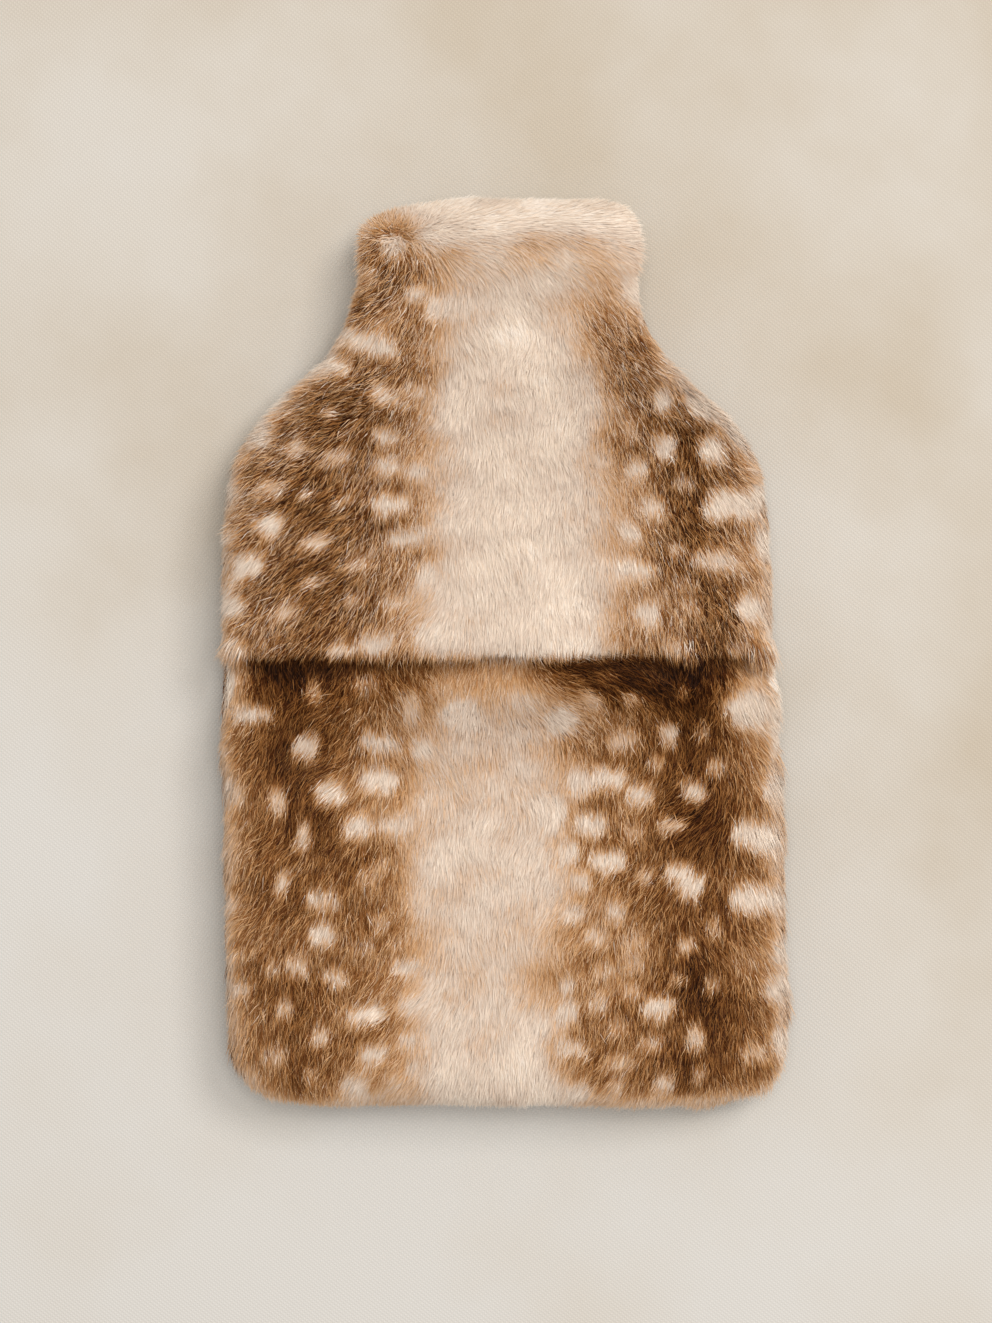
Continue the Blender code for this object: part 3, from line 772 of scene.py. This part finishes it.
def grow(cloth, count, share, strokes, marks, length, width, seed, frizz, longer, pressed=None):
    """The pile of one panel. frizz is how far its guard hairs stand out from the rest, longer
    gives how long it is at a place, and pressed how flat it lies."""
    rng = np.random.default_rng(seed)
    roots, normals = scatter(cloth, count, share, seed)
    many = len(roots)
    flow, rise, fall, stand = lay_direction(roots, normals, strokes)
    sideways = np.cross(normals, flow)
    guard = rng.random(many) < GUARD_SHARE
    brown = brownness(coat_tone(roots + 0.6 * length * flow, normals, marks))
    loose = (0.50 + 0.50 * brown) * (1 - 0.8 * even_neck(roots))
    calm = 1 - 0.6 * even_neck(roots)

    lock_roots, lock_normals = scatter(cloth, count // STRANDS_TO_A_LOCK, share, seed + 1)
    locks = len(lock_roots)
    lock = nearest(lock_roots, roots)

    turn = (0.16 * ripple(roots, 16, seed + 2) + 0.05 * ripple(roots, 6, seed + 3)) * calm
    lock_turn = rng.normal(0, 0.08, locks)[lock]
    turn += (lock_turn + rng.normal(0, 1, many) * np.where(guard, *GUARD["spread"])) * loose
    turn += rng.normal(0, 1.2, many) * stand
    way = swing(flow, sideways, turn)
    bend = turn + 0.06 * ripple(roots, 8, seed + 4) * calm + rng.normal(0, 0.16, many) * loose
    end_way = swing(flow, sideways, bend)

    rise += rng.normal(0, 0.14, many) * loose + rng.normal(0, 0.06, locks)[lock] * calm
    fall += rng.normal(0, 0.12, many) * loose
    size = length * rng.uniform(*LENGTHS, many) * (1 + 0.08 * ripple(roots, 9, seed + 5))
    size *= np.where(guard, *GUARD["length"])
    size *= longer(roots, normals)
    if pressed is not None:
        rise *= 1 - pressed(roots)
    middle = roots + swing(way, normals, rise) * (BEND_AT * size)[:, None]
    tip = middle + swing(end_way, normals, fall) * ((1 - BEND_AT) * size)[:, None]

    lock_flow, lock_rise, lock_fall, _ = lay_direction(lock_roots, lock_normals, strokes)
    lock_middle = lock_roots + BEND_AT * length * swing(lock_flow, lock_normals, lock_rise)
    lock_tip = lock_middle + BEND_AT * length * swing(lock_flow, lock_normals, lock_fall)
    pull = (rng.uniform(0.02, 0.14, many) + rng.uniform(0.0, 0.12, many) * brown)[:, None]
    tip += pull * (lock_tip[lock] - tip)
    middle += 0.45 * pull * (lock_middle[lock] - middle)

    lowest = FLOOR_CLEARANCE + rng.uniform(0, 0.8, many)
    for places in (middle, tip):
        places[:, 2] = np.maximum(places[:, 2], lowest)

    facing = normals + sideways * (np.tan(rng.uniform(-0.8, 0.8, many)) * loose)[:, None]
    stray = rng.normal(0, STRAY, (many, 3)) * (1, 1, 0)
    at_middle, at_tip = (coat_tone(places + stray, normals, marks) for places in (middle, tip))
    brown = brownness((at_middle + at_tip) / 2)
    odd = frizz * np.where(guard, *GUARD["tone"]) * brown
    odd += rng.normal(0, 0.03, many) * (1 + 2 * frizz * brown)
    odd += rng.normal(0, 0.012, locks)[lock]
    tone_low = np.clip(at_middle + odd - CREAM_ROOTS * (1 - brown), 0.01, 0.99)
    tone_tip = np.clip(at_tip + odd, 0.01, 0.99)
    bright, dim = rng.normal(0.95, 0.07, many), rng.normal(0.40 - 0.10 * frizz, 0.09, many)
    shade = np.where(guard, bright, dim) * brown + rng.normal(0.88, 0.06, many) * (1 - brown)
    wide = width * rng.uniform(*WIDTHS, many) * np.where(guard, *GUARD["width"])
    return Pile(roots, middle, tip, unit(facing), wide, tone_low, tone_tip, np.clip(shade, 0, 1))


# %% Turn strands into meshes
SLIVER = 0.0012  # half the width that a strand takes up on its map
MAP_LOW, MAP_SPAN = 0.02, 0.66  # where roots lie on the map, from the dimmest to the brightest
MIDDLE_UP, TIP_UP = 0.16, 0.30  # how far above its root a strand's middle and tip lie there
MOST_STRANDS = 99_000  # to a piece


def build_strands(name, pile, chosen, material):
    """One joined mesh of leaf-shaped strands, with their colours' places as its map."""
    root, middle, tip = pile.root[chosen], pile.middle[chosen], pile.tip[chosen]
    run = unit(tip - root)
    across = unit(np.cross(run, pile.facing[chosen])) * (pile.width[chosen] / 2)[:, None]
    places = np.stack([root, middle + across, middle - across, tip], axis=1)
    count = len(root)
    first = (np.arange(count) * 4)[:, None]
    triangles = np.stack([first + (0, 1, 2), first + (1, 3, 2)], axis=1)

    mesh = bpy.data.meshes.new(name)
    mesh.vertices.add(count * 4)
    mesh.vertices.foreach_set("co", (places * MM).astype(np.float32).ravel())
    mesh.loops.add(count * 6)
    mesh.loops.foreach_set("vertex_index", triangles.astype(np.int32).ravel())
    mesh.polygons.add(count * 2)
    mesh.polygons.foreach_set("loop_start", np.arange(0, count * 6, 3, dtype=np.int32))
    mesh.update(calc_edges=True)
    mesh.shade_smooth()

    tone, end = pile.tone_low[chosen], pile.tone_tip[chosen]
    low = MAP_LOW + MAP_SPAN * pile.shade[chosen]
    u = np.stack([tone, tone - SLIVER, tone + SLIVER, end], axis=1)
    v = np.stack([low, low + MIDDLE_UP, low + MIDDLE_UP, low + TIP_UP], axis=1)
    corners = np.stack([u, v], axis=2).reshape(-1, 2)[triangles.reshape(-1)]
    mesh.uv_layers.new(name="OFBake").data.foreach_set("uv", corners.astype(np.float32).ravel())

    piece = bpy.data.objects.new(name, mesh)
    bpy.context.scene.collection.objects.link(piece)
    mesh.materials.append(material)
    return piece


def build_pile(name, pile, material):
    """The pile of one panel, in as many pieces as it needs, cut from left to right."""
    order = np.argsort(pile.root[:, 0], kind="stable")
    parts = math.ceil(len(order) / MOST_STRANDS)
    pieces = [
        build_strands(f"{name}_{i + 1}", pile, chosen, material)
        for i, chosen in enumerate(np.array_split(order, parts))
    ]
    print(name, [len(piece.data.polygons) for piece in pieces], "triangles")
    return pieces


# %% [markdown]
# ## The pile's colour
#
# A strand's place on its map is its colour: across the map from dark brown to cream, and up it
# from the shade near a root to the light on a tip. So one colour ramp and one ramp of light
# are all that the material needs, and it looks the same from every side.

# %% The strands' material
COAT_COLOURS = [  # place on the map, then red, green and blue as painted, 0 to 255
    (0.00, 36, 18, 7), (0.20, 102, 59, 23), (0.41, 165, 113, 62), (0.55, 204, 159, 111),
    (0.67, 221, 188, 155), (0.77, 227, 210, 194), (0.82, 233, 219, 205), (0.86, 243, 228, 211),
    (0.92, 252, 243, 232), (1.00, 254, 247, 240),
]
STRAND_LIGHT = [
    (0.0, 96, 70, 50), (0.35, 184, 159, 138), (0.7, 242, 234, 226), (1.0, 255, 255, 255),
]


def paint(red, green, blue):
    """A painted colour as the light that it sends back."""
    parts = [c / 255 for c in (red, green, blue)]
    return [c / 12.92 if c <= 0.04045 else ((c + 0.055) / 1.055) ** 2.4 for c in parts] + [1.0]


def new_material(name, roughness, specular=0.1):
    """A new material, its nodes, its links and its shader."""
    material = bpy.data.materials.new(name)
    material.use_nodes = True
    shader = material.node_tree.nodes["Principled BSDF"]
    shader.inputs["Roughness"].default_value = roughness
    shader.inputs["Specular IOR Level"].default_value = specular
    return material, material.node_tree.nodes, material.node_tree.links, shader


def colour_ramp(nodes, links, source, stops):
    """A ramp of painted colours, and which of them shows follows source."""
    node = nodes.new("ShaderNodeValToRGB")
    ramp = node.color_ramp
    while len(ramp.elements) < len(stops):
        ramp.elements.new(0.5)
    for element, (place, red, green, blue) in zip(ramp.elements, stops):
        element.position = place
        element.color = paint(red, green, blue)
    links.new(source, node.inputs["Fac"])
    return node.outputs["Color"]


def multiplied(nodes, links, first, second):
    """One colour times another."""
    mix = nodes.new("ShaderNodeMix")
    mix.data_type = "RGBA"
    mix.blend_type = "MULTIPLY"
    mix.inputs["Factor"].default_value = 1.0
    links.new(first, mix.inputs["A"])
    links.new(second, mix.inputs["B"])
    return mix.outputs["Result"]


def strand_material():
    material, nodes, links, shader = new_material("pile_strands", roughness=0.6)
    place = nodes.new("ShaderNodeUVMap")
    place.uv_map = "OFBake"
    split = nodes.new("ShaderNodeSeparateXYZ")
    links.new(place.outputs["UV"], split.inputs["Vector"])
    coat = colour_ramp(nodes, links, split.outputs["X"], COAT_COLOURS)
    light = colour_ramp(nodes, links, split.outputs["Y"], STRAND_LIGHT)
    links.new(multiplied(nodes, links, coat, light), shader.inputs["Base Color"])
    return material


pile_strands = strand_material()

# %% Grow all three piles
POCKET_PILE_END = 5.0  # the pocket's pile ends this far up behind the flap
TUFT_X, TUFT_WIDTH = 73.0, 7.0  # a cream tuft that hangs lower from the flap's edge
MOUTH_LEFT, MOUTH_RIGHT = -98.0, 92.0  # beyond these the pile of flap and pocket runs on unbroken


def front_share(middle, normals):
    return 0.6 + 0.4 * smooth_step(normals[:, 2])


def pocket_share(middle, normals):
    return front_share(middle, normals) * smooth_step((POCKET_PILE_END - middle[:, 1]) / 4)


def back_share(middle, normals):
    return 0.22 + 0.78 * smooth_step((normals[:, 2] + 0.85) / 0.5)


def under_the_flap(roots):
    """The pocket's pile lies flat where the flap has pressed on it."""
    return 0.5 * smooth_step((roots[:, 1] + 14) / 12)


def trimmed_ends(roots, normals=None):
    """Shorter pile where the cover turns over its two ends, and along the sides of the neck."""
    top = smooth_step((roots[:, 1] - 160) / 12)
    bottom = smooth_step((-166 - roots[:, 1]) / 10)
    neck_side = smooth_step((np.abs(roots[:, 0] + 2) - 46) / 8)
    neck_side *= smooth_step((roots[:, 1] - 124) / 12)
    return (1 - 0.26 * top) * (1 - 0.18 * bottom) * (1 - 0.32 * neck_side)


def past_the_mouth(roots):
    """1 at the sides, past the ends of the mouth, and 0 between them."""
    left = smooth_step((MOUTH_LEFT + 3 - roots[:, 0]) / 6)
    return left + smooth_step((roots[:, 0] - MOUTH_RIGHT + 3) / 6)


def fringe(roots, normals):
    """Short pile under the hem, a longer tuft on it, and long pile past its two ends."""
    on_hem = roots[:, 1] < 9
    under = smooth_step((-normals[:, 1] - 0.5) / 0.4) * (roots[:, 1] < 12)
    tuft = np.exp(-(((roots[:, 0] - TUFT_X) / TUFT_WIDTH) ** 2)) * on_hem
    hanging = 1 + 0.5 * tuft + 0.5 * past_the_mouth(roots) * on_hem
    return (1 - 0.45 * under) * hanging * trimmed_ends(roots)


def pocket_tufts(roots, normals):
    """Longer locks that stick out along the pocket's right side."""
    side = smooth_step((0.8 - normals[:, 2]) / 0.5) * (roots[:, 0] > 0)
    return (1 + 0.28 * side * np.clip(ripple(roots, 9, 81), 0, 1.5)) * trimmed_ends(roots)


flap_pile = grow(
    flap_cloth, 196_000, front_share, FLAP_STROKES, FLAP_PRINT,
    length=9.6, width=0.38, seed=51, frizz=1.2, longer=fringe,
)
pocket_pile = grow(
    pocket_cloth, 192_000, pocket_share, POCKET_STROKES, POCKET_PRINT,
    length=9.6, width=0.38, seed=61, frizz=0.7, pressed=under_the_flap, longer=pocket_tufts,
)
back_pile = grow(
    back_cloth, 80_000, back_share, BACK_STROKES, BACK_PRINT,
    length=9.6, width=0.62, seed=71, frizz=1.0, longer=trimmed_ends,
)
flap_pieces = build_pile("flap_pile", flap_pile, pile_strands)
pocket_pieces = build_pile("pocket_pile", pocket_pile, pile_strands)
back_pieces = build_pile("back_pile", back_pile, pile_strands)

# %% [markdown]
# ## The cloth's thickness and colour
#
# Between the strands a little of the cloth shows, in the coat's own colours, painted darker and
# warmer as shade deep among the strands. Its inside is the plain backing. A Solidify modifier
# gives it its thickness last, inwards, so that the pile's roots stay on its outer side.

# %% The cloth's materials
GROUND_SHADE = (0.90, 0.80, 0.69)  # painted shade: the cloth is this much darker than each colour of the coat


def cloth_material():
    material, nodes, links, shader = new_material("pile_cloth_ground", roughness=0.95)
    tone = nodes.new("ShaderNodeAttribute")
    tone.attribute_name = "tone"
    stops = [(place, *np.multiply(colour, GROUND_SHADE)) for place, *colour in COAT_COLOURS]
    coat = colour_ramp(nodes, links, tone.outputs["Fac"], stops)
    links.new(coat, shader.inputs["Base Color"])
    return material


def add_bump(nodes, links, height, shader, distance, strength=1.0):
    bump = nodes.new("ShaderNodeBump")
    bump.inputs["Distance"].default_value = distance
    bump.inputs["Strength"].default_value = strength
    links.new(height, bump.inputs["Height"])
    links.new(bump.outputs["Normal"], shader.inputs["Normal"])


def backing_material():
    """A fine knit: rows of small loops, as bump and a slight change of colour."""
    material, nodes, links, shader = new_material("knitted_backing", roughness=0.9, specular=0.5)
    place = nodes.new("ShaderNodeTexCoord")
    loops = nodes.new("ShaderNodeTexVoronoi")
    loops.inputs["Scale"].default_value = 700.0
    links.new(place.outputs["Object"], loops.inputs["Vector"])
    height = loops.outputs["Distance"]
    colour = colour_ramp(nodes, links, height, [(0.0, 196, 176, 152), (1.0, 150, 128, 104)])
    links.new(colour, shader.inputs["Base Color"])
    add_bump(nodes, links, height, shader, distance=0.0004)
    return material


CLOTH_THICKNESS = 1.3
ground, backing = cloth_material(), backing_material()


def thicken(cloth, marks):
    points = places_of(cloth).astype(float) / MM
    normals = numbers(cloth.data.vertices, "normal").astype(float)
    tone = cloth.data.attributes.new("tone", "FLOAT", "POINT")
    tone.data.foreach_set("value", coat_tone(points, normals, marks).astype(np.float32))
    cloth.data.materials.append(ground)
    cloth.data.materials.append(backing)
    finish_with(cloth, "SOLIDIFY", thickness=CLOTH_THICKNESS * MM, offset=-1.0, material_offset=1)
    area = sum(face.area for face in cloth.data.polygons)
    print(cloth.name, len(cloth.data.polygons), "faces,", round(area / 2, 4), "m2 on each side")


thicken(back_cloth, BACK_PRINT)
thicken(flap_cloth, FLAP_PRINT)
thicken(pocket_cloth, POCKET_PRINT)

# %% [markdown]
# ## The floor and the light
#
# The cover lies on pale cloth in soft daylight that comes from above and from the upper right.
# Two large area lights stand for it, and the world's even light for the room.

# %% The floor's canvas
THREAD = 1.25 * MM  # from one thread of the weave to the next
STAINS = [(0.25, 210, 206, 200), (0.5, 206, 199, 189), (0.75, 194, 182, 165)]
HOLLOWS = [(0.0, 246, 245, 244), (0.6, 255, 255, 255)]  # between the threads, and on them


def canvas_material():
    """Pale canvas: a plain weave, with warmer stains that drift across it."""
    material, nodes, links, shader = new_material("pale_canvas", roughness=0.95)
    place = nodes.new("ShaderNodeTexCoord").outputs["Object"]

    drift = nodes.new("ShaderNodeVectorMath")
    drift.operation = "DOT_PRODUCT"
    drift.inputs[1].default_value = (0.5, 1.0, 0.0)
    links.new(place, drift.inputs[0])
    stains = nodes.new("ShaderNodeTexNoise")
    stains.inputs["Scale"].default_value = 7.0
    stains.inputs["Detail"].default_value = 6.0
    links.new(place, stains.inputs["Vector"])
    both = nodes.new("ShaderNodeMath")
    both.operation = "MULTIPLY_ADD"
    both.inputs[1].default_value = 0.7
    links.new(drift.outputs["Value"], both.inputs[0])
    links.new(stains.outputs["Fac"], both.inputs[2])
    stain = colour_ramp(nodes, links, both.outputs["Value"], STAINS)

    turned = nodes.new("ShaderNodeMapping")
    turned.inputs["Rotation"].default_value = (0, 0, math.radians(38))
    links.new(place, turned.inputs["Vector"])
    weave = nodes.new("ShaderNodeMath")
    weave.operation = "MULTIPLY"
    for i, direction in enumerate("XY"):
        wave = nodes.new("ShaderNodeTexWave")
        wave.bands_direction = direction
        wave.inputs["Scale"].default_value = math.pi / (10 * THREAD)
        wave.inputs["Distortion"].default_value = 0.8
        links.new(turned.outputs["Vector"], wave.inputs["Vector"])
        links.new(wave.outputs["Fac"], weave.inputs[i])
    hollows = colour_ramp(nodes, links, weave.outputs["Value"], HOLLOWS)
    links.new(multiplied(nodes, links, stain, hollows), shader.inputs["Base Color"])
    add_bump(nodes, links, weave.outputs["Value"], shader, distance=0.0003, strength=0.6)
    return material


# %% Floor, window and room
bpy.ops.object.select_all(action="DESELECT")
bpy.ops.mesh.primitive_plane_add(size=4.0, location=(0, 0, 0))
floor = bpy.context.active_object
floor.name = "floor"
floor.data.materials.append(canvas_material())


def soft_light(name, location, size, energy):
    """A round area light that faces the cover."""
    light = bpy.data.objects.new(name, bpy.data.lights.new(name, "AREA"))
    light.data.shape = "DISK"
    light.data.size = size
    light.data.energy = energy
    light.data.color = (1.0, 0.99, 0.975)
    light.location = location
    light.rotation_euler = (-light.location).to_track_quat("-Z", "Y").to_euler()
    bpy.context.scene.collection.objects.link(light)


soft_light("window", (1.25, 1.05, 2.5), 1.2, 37.0)
soft_light("ceiling", (0.15, 0.2, 2.6), 1.3, 38.0)

room = bpy.data.worlds.new("room")
room.use_nodes = True
room.node_tree.nodes["Background"].inputs["Color"].default_value = (1.0, 0.98, 0.95, 1.0)
room.node_tree.nodes["Background"].inputs["Strength"].default_value = 0.43
bpy.context.scene.world = room
bpy.context.scene.view_settings.view_transform = "Standard"

# %% [markdown]
# ## Which body each piece rides on
#
# Everything rides on the one body. Each sheet of cloth takes its CAD panel's place, and its
# pile goes with it.

PANELS = [
    (back_cloth, "back_panel", back_pieces, (0.26, 0.40), 0.085),
    (flap_cloth, "upper_front_panel", flap_pieces, (0.26, 0.21), 0.042),
    (pocket_cloth, "lower_front_panel", pocket_pieces, (0.26, 0.25), 0.055),
]
for cloth, node, pieces, flat, area in PANELS:
    for piece in [cloth, *pieces]:
        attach(piece, "root")
    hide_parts(node)
